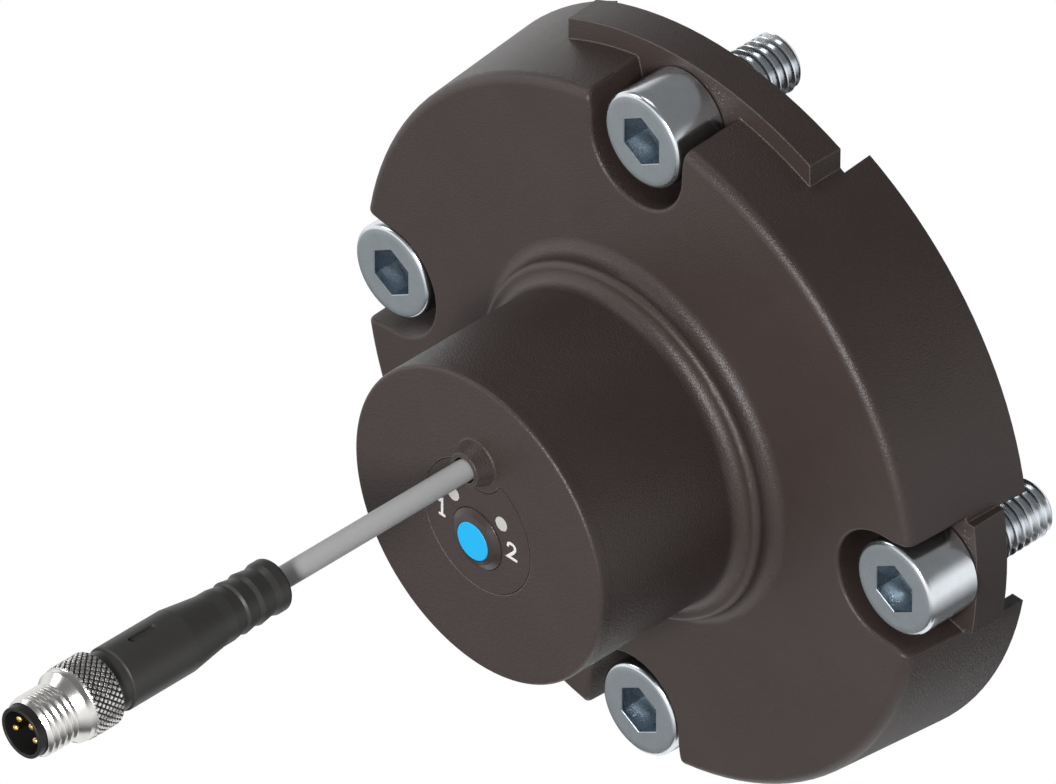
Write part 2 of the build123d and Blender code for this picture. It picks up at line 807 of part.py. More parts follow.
# Cable: one straight run from the grommet into the plug
cable_route = [
    (0, -cable_end_height, cable_offset),
    (0, -plug_height - cable_in_plug, cable_offset),
]
with BuildPart() as cable:
    with BuildLine():
        route = Polyline(*cable_route)
    with BuildSketch(Plane(origin=route @ 0, z_dir=route % 0)):
        Circle(cable_radius)
    sweep()
cable.part.label = "cable"

with BuildPart() as cable_cores:
    with BuildSketch(front(board_height)):
        with Locations((0, cable_offset)):
            with GridLocations(core_spacing, core_spacing, 2, 2):
                Circle(core_radius)
    extrude(amount=cable_end_height - board_height)
cable_cores.part.label = "cable_cores"

# Plug: soft body with barbs at its cable end and a dimple at 12 o'clock
barbs = []
barb_height = plug_height + plug_end_length
for pitch, rise in zip(plug_groove_pitch, plug_groove_rise):
    barbs += [
        (plug_end_radius, barb_height, 0),
        (plug_groove_radius, barb_height + rise, 0),
    ]
    barb_height += pitch
with BuildPart() as plug_body:
    with BuildSketch(cable_side_view):
        with BuildLine():
            outline(
                [
                    (0, plug_height, 0),
                    (plug_end_radius, plug_height, plug_end_round),
                    *barbs,
                    (plug_end_radius, barb_height, 0),
                    (plug_end_radius, plug_height + plug_taper_start, 0),
                    (plug_barrel_radius, plug_height + plug_taper_end, 0),
                    (plug_barrel_radius, plug_front - plug_neck_length, 0.2),
                    (plug_neck_radius, plug_front - plug_neck_length, 0),
                    (plug_neck_radius, plug_front, 0),
                    (insert_tail_radius, plug_front, 0),
                    (insert_tail_radius, plug_front - insert_tail_length, 0),
                    (0, plug_front - insert_tail_length, 0),
                ]
            )
        make_face()
    revolve(axis=cable_axis)
    with BuildSketch(front(plug_height)):
        with Locations((0, cable_offset)):
            Circle(cable_radius)
    extrude(amount=cable_in_plug, mode=Mode.SUBTRACT)
    dimple_place = Vector(0, -plug_height - dimple_start - dimple_length / 2, cable_offset + plug_barrel_radius)
    with BuildSketch(Plane(origin=dimple_place, x_dir=(0, 1, 0), z_dir=(0, 0, 1))):
        SlotOverall(dimple_length, dimple_width)
    extrude(amount=-dimple_depth, mode=Mode.SUBTRACT)
plug_body.part.label = "plug_body"

# Contact carrier with its tube round the pins
contact_tube_front = plug_front + insert_body_length + contact_tube_length
pin_floor = contact_tube_front - contact_tube_depth
pin_places = [(x * side, z) for x, z in (upper_pin_place, lower_pin_place) for side in (-1, 1)]
with BuildPart() as plug_insert:
    with BuildSketch(cable_side_view):
        with BuildLine():
            outline(
                [
                    (0, plug_front - insert_tail_length, 0),
                    (insert_tail_radius, plug_front - insert_tail_length, 0),
                    (insert_tail_radius, plug_front, 0),
                    (insert_body_radius, plug_front, 0),
                    (insert_body_radius, plug_front + insert_body_length, 0),
                    (contact_tube_radius, plug_front + insert_body_length, 0),
                    (contact_tube_radius, contact_tube_front, contact_rim_round),
                    (contact_tube_inner_radius, contact_tube_front, contact_rim_round),
                    (contact_tube_inner_radius, pin_floor, 0),
                    (0, pin_floor, 0),
                ]
            )
        make_face()
    revolve(axis=cable_axis)
    with BuildSketch(front(pin_floor)):
        with Locations((0, cable_offset)):
            with Locations(*pin_places):
                Circle(pin_radius)
    extrude(amount=-pin_embedded, mode=Mode.SUBTRACT)
plug_insert.part.label = "plug_insert"

pin_length = pin_embedded + contact_tube_depth - pin_recess
with BuildPart() as plug_pins:
    with BuildSketch(front(pin_floor - pin_embedded)):
        with Locations((0, cable_offset)):
            with Locations(*pin_places):
                Circle(pin_radius)
    extrude(amount=pin_length)
    fillet(plug_pins.faces().sort_by(Axis.Y)[0:4].edges(), 0.9 * pin_radius)
plug_pins.part.label = "plug_pins"

# Coupling nut, free to turn on the contact carrier
nut_bore_radius = insert_body_radius + nut_body_clearance
nut_front_bore_radius = contact_tube_radius + nut_body_clearance
nut_stop_height = plug_front + insert_body_length + nut_end_gap
nut_back_height = plug_front + nut_back_gap
nut_shoulder_height = nut_back_height + nut_knurl_length
nut_cone_height = nut_shoulder_height + nut_shoulder_length
nut_thread_height = nut_cone_height + nut_cone_length
nut_front_height = nut_thread_height + nut_thread_length
with BuildPart() as plug_nut:
    with BuildSketch(cable_side_view):
        with BuildLine():
            outline(
                [
                    (nut_bore_radius, nut_back_height, 0),
                    (nut_radius - nut_edge_chamfer, nut_back_height, 0),
                    (nut_radius, nut_back_height + nut_edge_chamfer, 0),
                    (nut_radius, nut_shoulder_height, 0),
                    (nut_shoulder_radius, nut_cone_height, 0),
                    (nut_thread_radius, nut_thread_height, 0),
                    (nut_thread_radius, nut_front_height - nut_front_chamfer, 0),
                    (nut_thread_radius - nut_front_chamfer, nut_front_height, 0),
                    (nut_front_bore_radius, nut_front_height, 0),
                    (nut_front_bore_radius, nut_stop_height, 0),
                    (nut_bore_radius, nut_stop_height, 0),
                ]
            )
        make_face()
    revolve(axis=cable_axis)
plug_nut.part.label = "plug_nut"

pieces = [
    housing.part,
    mounting_screws.part,
    front_insert.part,
    teach_button.part,
    button_cap.part,
    *lamps,
    circuit_board.part,
    angle_chip.part,
    controller_chip.part,
    board_components.part,
    key_switch_body.part,
    key_plunger.part,
    board_screws,
    cover_screws,
    bearing_plate_screws,
    chamber_cover.part,
    cover_seal.part,
    bearing_plate.part,
    bearing_bush.part,
    rotor.part,
    magnet.part,
    retaining_ring.part,
    cable_grommet.part,
    cable.part,
    cable_cores.part,
    plug_body.part,
    plug_insert.part,
    plug_pins.part,
    plug_nut.part,
]
os.makedirs("parts", exist_ok=True)
for piece in pieces:
    export_step(piece, f"parts/{piece.label}.step")
cable_length = (Vector(*cable_route[1]) - Vector(*cable_route[0])).length
print("cable", round(cable_length, 2), "mm long, of which free", cable_free_length, "mm, with no bend")
print("cable volume over section times length", round(cable.part.volume / (pi * cable_radius**2 * cable_length), 5))
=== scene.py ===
import math

import bpy
from mathutils import Matrix, Vector


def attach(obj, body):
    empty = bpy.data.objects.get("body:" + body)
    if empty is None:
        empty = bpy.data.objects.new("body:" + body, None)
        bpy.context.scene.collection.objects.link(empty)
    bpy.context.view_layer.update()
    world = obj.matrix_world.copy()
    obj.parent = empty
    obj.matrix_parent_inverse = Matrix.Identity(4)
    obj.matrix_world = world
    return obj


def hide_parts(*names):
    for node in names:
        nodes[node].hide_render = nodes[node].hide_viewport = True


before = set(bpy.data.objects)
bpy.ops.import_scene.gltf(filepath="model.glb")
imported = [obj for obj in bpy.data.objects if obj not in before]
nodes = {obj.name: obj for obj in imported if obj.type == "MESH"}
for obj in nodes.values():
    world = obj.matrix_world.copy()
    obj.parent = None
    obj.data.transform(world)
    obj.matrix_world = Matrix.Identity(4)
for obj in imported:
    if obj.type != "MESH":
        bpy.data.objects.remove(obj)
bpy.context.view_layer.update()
MM = 0.001


def place(name, data):
    """A new object with this data, in the scene."""
    item = bpy.data.objects.new(name, data)
    bpy.context.scene.collection.objects.link(item)
    return item


# Camera: the photograph's own perspective, with the image taken as 1056 x 784
CAMERA_AZIMUTH = 45.8886
CAMERA_ELEVATION = 37.6617
CAMERA_DISTANCE = 2339.4 * MM
CAMERA_SCALE = 8171.9
CAMERA_RIGHT = -13.6869 * MM
CAMERA_UP = 4.5569 * MM
TARGET_FRONT = 13.0 * MM
IMAGE_WIDTH = 1056
SENSOR_WIDTH = 36.0
CLIP_START = 0.1
CLIP_END = 50


def make_camera():
    """A camera that looks at a point on the axis. CAMERA_SCALE is in pixels of the image per metre there."""
    azimuth, elevation = math.radians(CAMERA_AZIMUTH), math.radians(CAMERA_ELEVATION)
    level = Vector((math.sin(azimuth), -math.cos(azimuth), 0))
    right = Vector((math.cos(azimuth), math.sin(azimuth), 0))
    up = Vector((0, 0, math.cos(elevation))) - level * math.sin(elevation)
    back = Vector((0, 0, math.sin(elevation))) + level * math.cos(elevation)
    data = bpy.data.cameras.new("camera")
    data.sensor_width = SENSOR_WIDTH
    data.lens = CAMERA_SCALE * CAMERA_DISTANCE * SENSOR_WIDTH / IMAGE_WIDTH
    data.clip_start, data.clip_end = CLIP_START, CLIP_END
    camera = place("camera", data)
    camera.rotation_mode = "QUATERNION"
    camera.rotation_quaternion = Matrix((right, up, back)).transposed().to_quaternion()
    target = Vector((0, -TARGET_FRONT, 0))
    camera.location = target + back * CAMERA_DISTANCE + right * CAMERA_RIGHT + up * CAMERA_UP
    bpy.context.scene.camera = camera


make_camera()

# Materials. The mix node's sockets for numbers and for colours share their names, so they go by number.
MIX_FACTOR = 0
MIX_NUMBERS = (2, 3)
MIX_NUMBER_RESULT = 0
MIX_COLORS = (6, 7)
MIX_COLOR_RESULT = 2


def new_material(name, **sockets):
    """A node material, with the values that are the same all over set on the shader's own sockets."""
    material = bpy.data.materials.new(name)
    material.use_nodes = True
    tree = material.node_tree
    shader = tree.nodes["Principled BSDF"]
    for socket, value in sockets.items():
        shader.inputs[socket.replace("_", " ")].default_value = value
    return material, tree, shader


def feed(tree, socket, value):
    """Links a node's output to a socket, or sets a plain value there."""
    if isinstance(value, bpy.types.NodeSocket):
        tree.links.new(value, socket)
    else:
        socket.default_value = value


def calculate(tree, operation, *values):
    """The result of a math node on numbers or other nodes' outputs."""
    node = tree.nodes.new("ShaderNodeMath")
    node.operation = operation
    for socket, value in zip(node.inputs, values):
        feed(tree, socket, value)
    return node.outputs["Value"]


def blend(tree, factor, first, second):
    """A number between two, by a factor from 0 to 1."""
    mix = tree.nodes.new("ShaderNodeMix")
    feed(tree, mix.inputs[MIX_FACTOR], factor)
    for index, value in zip(MIX_NUMBERS, (first, second)):
        feed(tree, mix.inputs[index], value)
    return mix.outputs[MIX_NUMBER_RESULT]


def tint(tree, factor, first, second):
    """A colour between two, by a factor from 0 to 1. Each is a plain colour or a node's output."""
    mix = tree.nodes.new("ShaderNodeMix")
    mix.data_type = "RGBA"
    feed(tree, mix.inputs[MIX_FACTOR], factor)
    for index, color in zip(MIX_COLORS, (first, second)):
        feed(tree, mix.inputs[index], (*color, 1) if isinstance(color, tuple) else color)
    return mix.outputs[MIX_COLOR_RESULT]


def noise(tree, size, detail=2.0, roughness=0.5):
    """Noise in the object's own coordinates, whose features are about this size in metres."""
    coordinates = tree.nodes.new("ShaderNodeTexCoord")
    texture = tree.nodes.new("ShaderNodeTexNoise")
    texture.inputs["Scale"].default_value = 1 / size
    texture.inputs["Detail"].default_value = detail
    texture.inputs["Roughness"].default_value = roughness
    tree.links.new(coordinates.outputs["Object"], texture.inputs["Vector"])
    return texture.outputs["Fac"]


def spread(tree, value, low, high, from_low=0.25, from_high=0.75):
    """Maps a value between two limits, which fit noise if not given, to the range from low to high."""
    ranged = tree.nodes.new("ShaderNodeMapRange")
    ranged.inputs["From Min"].default_value = from_low
    ranged.inputs["From Max"].default_value = from_high
    ranged.inputs["To Min"].default_value = low
    ranged.inputs["To Max"].default_value = high
    tree.links.new(value, ranged.inputs["Value"])
    return ranged.outputs["Result"]


def bump(tree, shader, height, distance, before=None):
    """Grain of this depth in the surface, on top of a normal that is given before."""
    node = tree.nodes.new("ShaderNodeBump")
    node.inputs["Strength"].default_value = 1.0
    node.inputs["Distance"].default_value = distance
    tree.links.new(height, node.inputs["Height"])
    if before:
        tree.links.new(before, node.inputs["Normal"])
    tree.links.new(node.outputs["Normal"], shader.inputs["Normal"])


def shaded(color, factor):
    """A colour made lighter or darker."""
    return tuple(channel * factor for channel in color)


# Edge wear and a painted highlight along edges are full and end at these cosines of the angle between the
# rounded-off normal and the surface's own.
# Grain between the two speckle values breaks them up, down to the least share.
WEAR_AND_HIGHLIGHT_FULL = 0.90
WEAR_AND_HIGHLIGHT_END = 0.985
WEAR_AND_HIGHLIGHT_LEAST = 0.25
WEAR_AND_HIGHLIGHT_SPECKLE = (0.35, 0.65)
BEVEL_SAMPLES = 6


def soft_edges(tree, radius):
    """A normal that is rounded off along sharp edges."""
    bevel = tree.nodes.new("ShaderNodeBevel")
    bevel.samples = BEVEL_SAMPLES
    bevel.inputs["Radius"].default_value = radius
    return bevel.outputs["Normal"]


def worn_and_highlit_edges(tree, bevelled, color, light, speckle):
    """Lightens a colour where the rounded-off normal leaves the surface's own, that is along edges: wear and
    a painted highlight.
    """
    geometry = tree.nodes.new("ShaderNodeNewGeometry")
    dot = tree.nodes.new("ShaderNodeVectorMath")
    dot.operation = "DOT_PRODUCT"
    tree.links.new(bevelled, dot.inputs[0])
    tree.links.new(geometry.outputs["Normal"], dot.inputs[1])
    edge = spread(tree, dot.outputs["Value"], 1.0, 0.0, WEAR_AND_HIGHLIGHT_FULL, WEAR_AND_HIGHLIGHT_END)
    broken = spread(tree, speckle, WEAR_AND_HIGHLIGHT_LEAST, 1.0, *WEAR_AND_HIGHLIGHT_SPECKLE)
    return tint(tree, calculate(tree, "MULTIPLY", edge, broken), color, light)


FLOW_SIZE = 9 * MM
GRAIN_SHARE = 0.7
PLASTIC_ROUGHNESS_SPREAD = 0.05


def moulded(
    name,
    color,
    roughness,
    grain=0.22 * MM,
    depth=0.012 * MM,
    variation=0.10,
    specular=0.4,
    edge=0.0,
    wear_and_highlight=None,
):
    """Moulded plastic with a fine grain, slight flow shading and, if asked, soft edges and edges painted
    lighter as wear and as a highlight.
    """
    material, tree, shader = new_material(name, Specular_IOR_Level=specular)
    fine = noise(tree, grain, detail=3.0, roughness=0.6)
    flow = spread(tree, noise(tree, FLOW_SIZE), 0.0, 1 - GRAIN_SHARE)
    factor = spread(tree, calculate(tree, "MULTIPLY_ADD", fine, GRAIN_SHARE, flow), 0.0, 1.0)
    tinted = tint(tree, factor, shaded(color, 1 - variation), shaded(color, 1 + variation))
    bevelled = soft_edges(tree, edge) if edge else None
    if wear_and_highlight:
        tinted = worn_and_highlit_edges(tree, bevelled, tinted, wear_and_highlight, fine)
    tree.links.new(tinted, shader.inputs["Base Color"])
    lowest, highest = roughness - PLASTIC_ROUGHNESS_SPREAD, roughness + PLASTIC_ROUGHNESS_SPREAD
    tree.links.new(spread(tree, fine, lowest, highest), shader.inputs["Roughness"])
    bump(tree, shader, fine, depth, before=bevelled)
    return material


METAL_GRAIN = 0.15 * MM
METAL_CLOUD_SIZE = 1.8 * MM
METAL_VARIATION = 0.05
METAL_ROUGHNESS_SPREAD = 0.06


def metal(name, color, roughness, depth=0.0015 * MM):
    """Bare or plated metal with a fine grain and a slightly clouded colour."""
    material, tree, shader = new_material(name, Metallic=1.0)
    fine = noise(tree, METAL_GRAIN, detail=4.0, roughness=0.6)
    cloudy = spread(tree, noise(tree, METAL_CLOUD_SIZE, detail=3.0), 0.0, 1.0)
    tinted = tint(tree, cloudy, shaded(color, 1 - METAL_VARIATION), shaded(color, 1 + METAL_VARIATION))
    tree.links.new(tinted, shader.inputs["Base Color"])
    lowest, highest = roughness - METAL_ROUGHNESS_SPREAD, roughness + METAL_ROUGHNESS_SPREAD
    tree.links.new(spread(tree, fine, lowest, highest), shader.inputs["Roughness"])
    bump(tree, shader, fine, depth)
    return material


HOUSING_FINISH = dict(
    color=(0.0530, 0.0380, 0.0345),
    roughness=0.34,
    grain=0.25 * MM,
    depth=0.080 * MM,
    variation=0.12,
    specular=0.45,
)
INSERT_FINISH = HOUSING_FINISH | dict(roughness=0.36, depth=0.070 * MM)
# The housing's edges are painted lighter, as wear and as a painted highlight along them.
housing_plastic = moulded("housing_plastic", edge=0.28 * MM, wear_and_highlight=(0.20, 0.185, 0.18), **HOUSING_FINISH)
housing_skin = moulded("housing_skin", **HOUSING_FINISH)
insert_plastic = moulded("insert_plastic", **INSERT_FINISH)
button_rubber = moulded(
    "button_rubber", (0.0480, 0.0370, 0.0340), 0.24, grain=0.25 * MM, depth=0.02 * MM, edge=0.1 * MM
)
cap_blue = moulded("cap_blue", (0.020, 0.53, 1.0), 0.45, depth=0.002 * MM, variation=0.03, specular=0.3)
lamp_plastic = moulded("lamp_plastic", (0.64, 0.63, 0.59), 0.35, depth=0.002 * MM, variation=0.04)
lamp_chip_plastic = moulded("lamp_chip_plastic", (0.85, 0.80, 0.60), 0.25, depth=0.002 * MM)
board_green = moulded("board_green", (0.010, 0.085, 0.035), 0.35, grain=0.5 * MM, depth=0.004 * MM)
chip_black = moulded("chip_black", (0.012, 0.012, 0.013), 0.55, grain=0.1 * MM, depth=0.004 * MM)
ceramic_brown = moulded("ceramic_brown", (0.25, 0.15, 0.08), 0.5, grain=0.1 * MM, depth=0.003 * MM)
cover_black = moulded("cover_black", (0.015, 0.015, 0.016), 0.50)
seal_black = moulded("seal_black", (0.010, 0.010, 0.010), 0.55, depth=0.006 * MM)
rotor_white = moulded("rotor_white", (0.60, 0.58, 0.52), 0.42, depth=0.006 * MM, variation=0.04)
cable_grey = moulded(
    "cable_grey", (0.56, 0.56, 0.565), 0.42, grain=0.3 * MM, depth=0.004 * MM, variation=0.04
)
core_blue = moulded("core_blue", (0.03, 0.08, 0.45), 0.45, depth=0.003 * MM)
plug_black = moulded(
    "plug_black", (0.040, 0.039, 0.037), 0.42, grain=0.3 * MM, depth=0.015 * MM, edge=0.15 * MM
)
carrier_black = moulded("carrier_black", (0.010, 0.010, 0.010), 0.45, depth=0.004 * MM)
digit_white = moulded("digit_white", (0.90, 0.90, 0.88), 0.5, depth=0.002 * MM, variation=0.03)
zinc_steel = metal("zinc_steel", (0.76, 0.80, 0.84), 0.20)
# Darker copies of the zinc: for the flat faces a painted dim reflection, for the sockets painted shade in the
# recess.
zinc_face_shaded = metal("zinc_face_shaded", (0.54, 0.60, 0.64), 0.30)
zinc_socket_shaded = metal("zinc_socket_shaded", (0.42, 0.48, 0.53), 0.24)
small_zinc = metal("small_zinc", (0.55, 0.55, 0.52), 0.28)
spring_steel = metal("spring_steel", (0.10, 0.10, 0.11), 0.35)
turned_aluminium = metal("turned_aluminium", (0.60, 0.61, 0.63), 0.33)
sintered_bronze = metal("sintered_bronze", (0.50, 0.29, 0.12), 0.42, depth=0.004 * MM)
magnet_nickel = metal("magnet_nickel", (0.50, 0.50, 0.52), 0.18)
pin_gold = metal("pin_gold", (0.85, 0.56, 0.20), 0.22)
nut_nickel = metal("nut_nickel", (0.76, 0.75, 0.73), 0.22)
# Painted shade: a dark copy of the nickel for the grooves of the knurl.
nut_groove_shade = metal("nut_groove_shade", (0.09, 0.09, 0.088), 0.40)

node_materials = {
    "housing": housing_plastic,
    "front_insert": insert_plastic,
    "teach_button": button_rubber,
    "button_cap": cap_blue,
    "lamp_window_1": lamp_plastic,
    "lamp_window_2": lamp_plastic,
    "lamp_chip_1": lamp_chip_plastic,
    "lamp_chip_2": lamp_chip_plastic,
    "circuit_board": board_green,
    "angle_chip": chip_black,
    "controller_chip": chip_black,
    "board_components": ceramic_brown,
    "key_switch_body": chip_black,
    "key_plunger": rotor_white,
    "board_screws": small_zinc,
    "cover_screws": small_zinc,
    "bearing_plate_screws": small_zinc,
    "chamber_cover": cover_black,
    "cover_seal": seal_black,
    "bearing_plate": turned_aluminium,
    "bearing_bush": sintered_bronze,
    "rotor": rotor_white,
    "magnet": magnet_nickel,
    "retaining_ring": spring_steel,
    "cable_grommet": seal_black,
    "cable_cores": core_blue,
    "plug_body": plug_black,
    "plug_insert": carrier_black,
    "plug_pins": pin_gold,
}
for node, material in node_materials.items():
    nodes[node].data.materials.clear()
    nodes[node].data.materials.append(material)

# Mesh helpers
SMOOTH_ANGLE = 28


def add_piece(name, vertices, faces, material, body, slot):
    """A mesh piece, smooth but for its sharp edges, on a body. The slot is not used."""
    mesh = bpy.data.meshes.new(name)
    mesh.from_pydata(vertices, [], faces)
    mesh.validate()
    mesh.materials.append(material)
    mesh.shade_smooth()
    mesh.set_sharp_from_angle(angle=math.radians(SMOOTH_ANGLE))
    piece = place(name, mesh)
    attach(piece, body)
    return piece


def append_mesh(vertices, faces, more_vertices, more_faces):
    """Adds the second mesh to the first."""
    start = len(vertices)
    vertices += more_vertices
    faces += [tuple(start + v for v in face) for face in more_faces]


def stack(rows, segments, centre, loop=False):
    """Vertices and faces of rings about an axis along Y through centre (x, z).

    A row is (radius, height), both in metres, and a radius may be a function of the angle. Rings run
    anticlockwise as seen from the front. With loop the last ring joins the first, or else both are closed.
    """
    vertices, faces = [], []
    for radius, height in rows:
        for i in range(segments):
            angle = 2 * math.pi * i / segments
            r = radius(angle) if callable(radius) else radius
            vertices.append((centre[0] + r * math.cos(angle), -height, centre[1] + r * math.sin(angle)))
    count = len(rows)
    for j in range(count if loop else count - 1):
        k = (j + 1) % count
        for i in range(segments):
            n = (i + 1) % segments
            faces.append((j * segments + i, k * segments + i, k * segments + n, j * segments + n))
    if not loop:
        faces.append(tuple(range(segments)))
        faces.append(tuple(reversed(range((count - 1) * segments, count * segments))))
    return vertices, faces


def edge_rows(outer, front, radius, steps):
    """Rows of a round between a front face and the side outside it."""
    rows = []
    for i in range(steps + 1):
        angle = math.pi / 2 * (1 - i / steps)
        rows.append((outer - radius + radius * math.cos(angle), front - radius + radius * math.sin(angle)))
    return rows


THREAD_SEGMENTS = 36


def thread(crest, root, pitch, flat, height):
    """Radius of a helical V thread at this height, as a function of the angle.

    Flat is the share of the pitch over which the crest is level on each side, and the root likewise.
    """

    def radius(angle):
        phase = (height / pitch - angle / (2 * math.pi)) % 1.0
        from_crest = abs(phase - 0.5) * 2
        rise = min(max((from_crest - flat) / (1 - 2 * flat), 0), 1)
        return crest - (crest - root) * rise

    return radius


def thread_shell(crest, root, pitch, flat, start, end, chamfer, bore, centre):
    """A closed shell with a helical thread outside, from one height to another, as vertices and faces.

    Each quad is cut along the helix, so the crest runs on without steps. Without a bore the ends are
    closed discs.
    """
    count = round(abs(end - start) / pitch * THREAD_SEGMENTS)
    rows = [(bore, start)] if bore else []
    for i in range(count + 1):
        height = start + (end - start) * i / count
        limit = crest - max(0.0, chamfer - abs(end - height))
        shape = thread(crest, root, pitch, flat, height)
        rows.append((lambda angle, shape=shape, limit=limit: min(shape(angle), limit), height))
    if bore:
        rows.append((bore, end))
    vertices, quads = stack(rows, THREAD_SEGMENTS, centre, loop=bool(bore))
    faces = []
    for quad in quads:
        if len(quad) != 4:
            faces.append(quad)
            continue
        a, b, c, d = quad
        faces += [(a, b, d), (b, c, d)] if end < start else [(a, b, c), (a, c, d)]
    return vertices, faces


# Mounting screws: socket head cap screws with rolled threads
SCREW_CIRCLE = 44.0 * MM
SCREW_CENTRES = [
    (SCREW_CIRCLE * math.cos(quarter * math.pi / 2), SCREW_CIRCLE * math.sin(quarter * math.pi / 2))
    for quarter in range(4)
]
SCREW_SEGMENTS = 96
HEAD_FRONT = 13.0 * MM
HEAD_BACK = 5.0 * MM
HEAD_RADIUS = 6.5 * MM
HEAD_ROUND = 0.65 * MM
HEAD_ROUND_STEPS = 6
HEAD_BACK_CHAMFER = 0.25 * MM
# Rings across the flat face, and one on the side this far behind it, that keep the shading even
FACE_RINGS = (4.4 * MM, 5.2 * MM)
SIDE_RING = 2 * MM
NECK_RADIUS = 3.6 * MM
NECK_BACK = -0.5 * MM
SCREW_TIP = -11.0 * MM
SCREW_TIP_CHAMFER = 0.75 * MM
SCREW_CREST = 3.97 * MM
SCREW_ROOT = 3.32 * MM
SCREW_PITCH = 1.25 * MM
SCREW_CREST_FLAT = 0.14
HEX_APOTHEM = 3.0 * MM
HEX_DEPTH = 4.0 * MM
HEX_CHAMFER = 0.10 * MM
HEX_FLOOR_LEDGE = 0.5 * MM
DRILL_POINT_RADIUS = 0.2 * MM
DRILL_POINT_DEPTH = 0.9 * MM
# What lies nearer to the axis than this and in front of this height belongs to the socket
SOCKET_REACH = 1.25 * HEX_APOTHEM
SOCKET_BACK = HEAD_BACK + 1.0 * MM
FACE_TOLERANCE = 0.02 * MM


def hexagon(apothem):
    """Radius of a hexagon with flats left and right, as a function of the angle."""

    def radius(angle):
        from_flat = (angle + math.pi / 6) % (math.pi / 3) - math.pi / 6
        return apothem / math.cos(from_flat)

    return radius


def head_rows():
    """Rows of a screw's socket, head and neck, from the socket's deepest point."""
    floor = HEAD_FRONT - HEX_DEPTH
    rows = [
        (DRILL_POINT_RADIUS, floor - DRILL_POINT_DEPTH),
        (hexagon(HEX_APOTHEM - HEX_FLOOR_LEDGE), floor),
        (hexagon(HEX_APOTHEM), floor),
        (hexagon(HEX_APOTHEM), HEAD_FRONT - HEX_CHAMFER),
        (hexagon(HEX_APOTHEM + HEX_CHAMFER), HEAD_FRONT),
    ]
    rows += [(radius, HEAD_FRONT) for radius in FACE_RINGS]
    rows += edge_rows(HEAD_RADIUS, HEAD_FRONT, HEAD_ROUND, HEAD_ROUND_STEPS)
    rows += [(HEAD_RADIUS, HEAD_FRONT - SIDE_RING), (HEAD_RADIUS, HEAD_BACK + HEAD_BACK_CHAMFER)]
    rows += [(HEAD_RADIUS - HEAD_BACK_CHAMFER, HEAD_BACK), (NECK_RADIUS, HEAD_BACK), (NECK_RADIUS, NECK_BACK)]
    return rows


def in_socket(point):
    """Whether a point on a screw lies in its socket."""
    nearest = min(math.hypot(point.x - x, point.z - z) for x, z in SCREW_CENTRES)
    return -point.y > SOCKET_BACK and nearest < SOCKET_REACH


def make_screws():
    """The four screws as one piece, with the flat faces in a darker zinc as a painted dim reflection and the
    sockets in a darker one as painted shade.
    """
    vertices, faces = [], []
    for centre in SCREW_CENTRES:
        append_mesh(vertices, faces, *stack(head_rows(), SCREW_SEGMENTS, centre))
        shank = thread_shell(
            SCREW_CREST,
            SCREW_ROOT,
            SCREW_PITCH,
            SCREW_CREST_FLAT,
            start=0.0,
            end=SCREW_TIP,
            chamfer=SCREW_TIP_CHAMFER,
            bore=None,
            centre=centre,
        )
        append_mesh(vertices, faces, *shank)
    screws = add_piece("cap_screws", vertices, faces, zinc_steel, "sensor_body", "zinc_steel")
    screws.data.materials.append(zinc_face_shaded)
    screws.data.materials.append(zinc_socket_shaded)
    # Flat faces and sockets take the darker zinc copies: painted reflection and painted shade.
    for face in screws.data.polygons:
        if abs(-face.center.y - HEAD_FRONT) < FACE_TOLERANCE:
            face.material_index = 1
        elif in_socket(face.center):
            face.material_index = 2
    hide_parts("mounting_screws")


make_screws()

# Hub rim: a thin skin over the hub's rounded front edge, whose hidden edges are tucked into the housing
HUB_RADIUS = 21.6 * MM
HUB_FRONT = 40.65 * MM
HUB_EDGE_ROUND = 0.52 * MM
HUB_EDGE_STEPS = 10
RIM_SEGMENTS = 360
SKIN = 0.008 * MM
RIM_FLAT = 0.5 * MM
RIM_FLAT_SLANT = 0.1 * MM
RIM_TUCK = 0.4 * MM
RIM_SIDE = 1.5 * MM
RIM_END = 1.9 * MM


def make_hub_rim():
    """The ring that gives the hub's front edge its smooth highlight."""
    outer, front = HUB_RADIUS + SKIN, HUB_FRONT + SKIN
    flat_inside = outer - HUB_EDGE_ROUND - RIM_FLAT
    rows = [(flat_inside - RIM_FLAT_SLANT, front - RIM_TUCK), (flat_inside, front)]
    rows += edge_rows(outer, front, HUB_EDGE_ROUND, HUB_EDGE_STEPS)
    rows += [(outer, front - RIM_SIDE), (outer - 2 * SKIN, front - RIM_END)]
    rows += [(outer - RIM_TUCK, front - RIM_END)]
    vertices, faces = stack(rows, RIM_SEGMENTS, (0, 0), loop=True)
    add_piece("hub_rim", vertices, faces, housing_skin, "sensor_body", "housing_plastic")


make_hub_rim()

# Cable
CABLE_Z = 9.8 * MM
CABLE_RADIUS = 1.45 * MM
CABLE_BACK = 35.4 * MM
CABLE_NEAR_EXIT = 52.8 * MM
CABLE_FRONT = 78.6 * MM


def make_cable():
    """The cable's sheath, a curve from inside the hub to inside the plug."""
    curve = bpy.data.curves.new("sensor_cable", "CURVE")
    curve.dimensions = "3D"
    curve.bevel_depth = CABLE_RADIUS
    curve.bevel_resolution = 10
    curve.use_fill_caps = True
    spline = curve.splines.new("NURBS")
    heights = [CABLE_BACK, CABLE_NEAR_EXIT, CABLE_FRONT]
    spline.points.add(len(heights) - 1)
    for point, height in zip(spline.points, heights):
        point.co = (0, -height, CABLE_Z, 1)
    spline.order_u = 3
    spline.use_endpoint_u = True
    spline.resolution_u = 16
    curve.materials.append(cable_grey)
    cable = place("sensor_cable", curve)
    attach(cable, "sensor_body")
    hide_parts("cable")
    return cable


